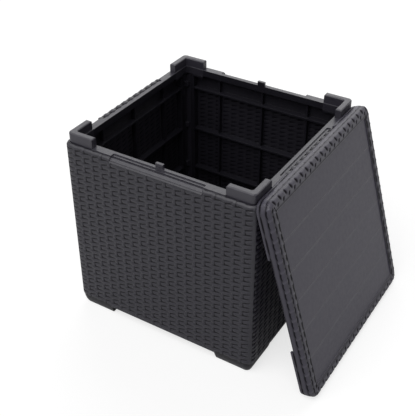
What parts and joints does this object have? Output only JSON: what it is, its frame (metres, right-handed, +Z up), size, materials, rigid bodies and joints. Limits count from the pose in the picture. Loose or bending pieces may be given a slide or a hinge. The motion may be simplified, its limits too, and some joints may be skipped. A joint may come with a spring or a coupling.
{
  "type": "deck storage box",
  "caption": "Square deck storage box in dark woven-effect plastic: ribbed walls locked by corner posts, open top, loose planked lid leaning on one side.",
  "frame": {"origin": "centre of the box's square footprint, on the floor", "axes": "+Z up; -Y towards the front wall; the lid leans on the +X side"},
  "size_m": [0.551, 0.42, 0.4179],
  "materials": {
    "wall_plastic": "moulded plastic, low sheen, woven texture outside",
    "post_plastic": "moulded plastic, low sheen, smooth",
    "base_plastic": "moulded plastic, low sheen, smooth",
    "lid_plastic": "moulded plastic, low sheen, smooth planks in a woven border"
  },
  "bodies": {
    "box": {"front_wall": "wall_plastic", "right_wall": "wall_plastic", "back_wall": "wall_plastic", "left_wall": "wall_plastic", "corner_post_front_right": "post_plastic", "corner_post_back_right": "post_plastic", "corner_post_back_left": "post_plastic", "corner_post_front_left": "post_plastic", "base_panel": "base_plastic"},
    "lid": {"lid": "lid_plastic"}
  },
  "joints": [
    {"name": "lid_lift", "type": "slide", "parent": "box", "child": "lid", "axis": [0, 0, 1], "range_m": [0, 0.45]}
  ]
}
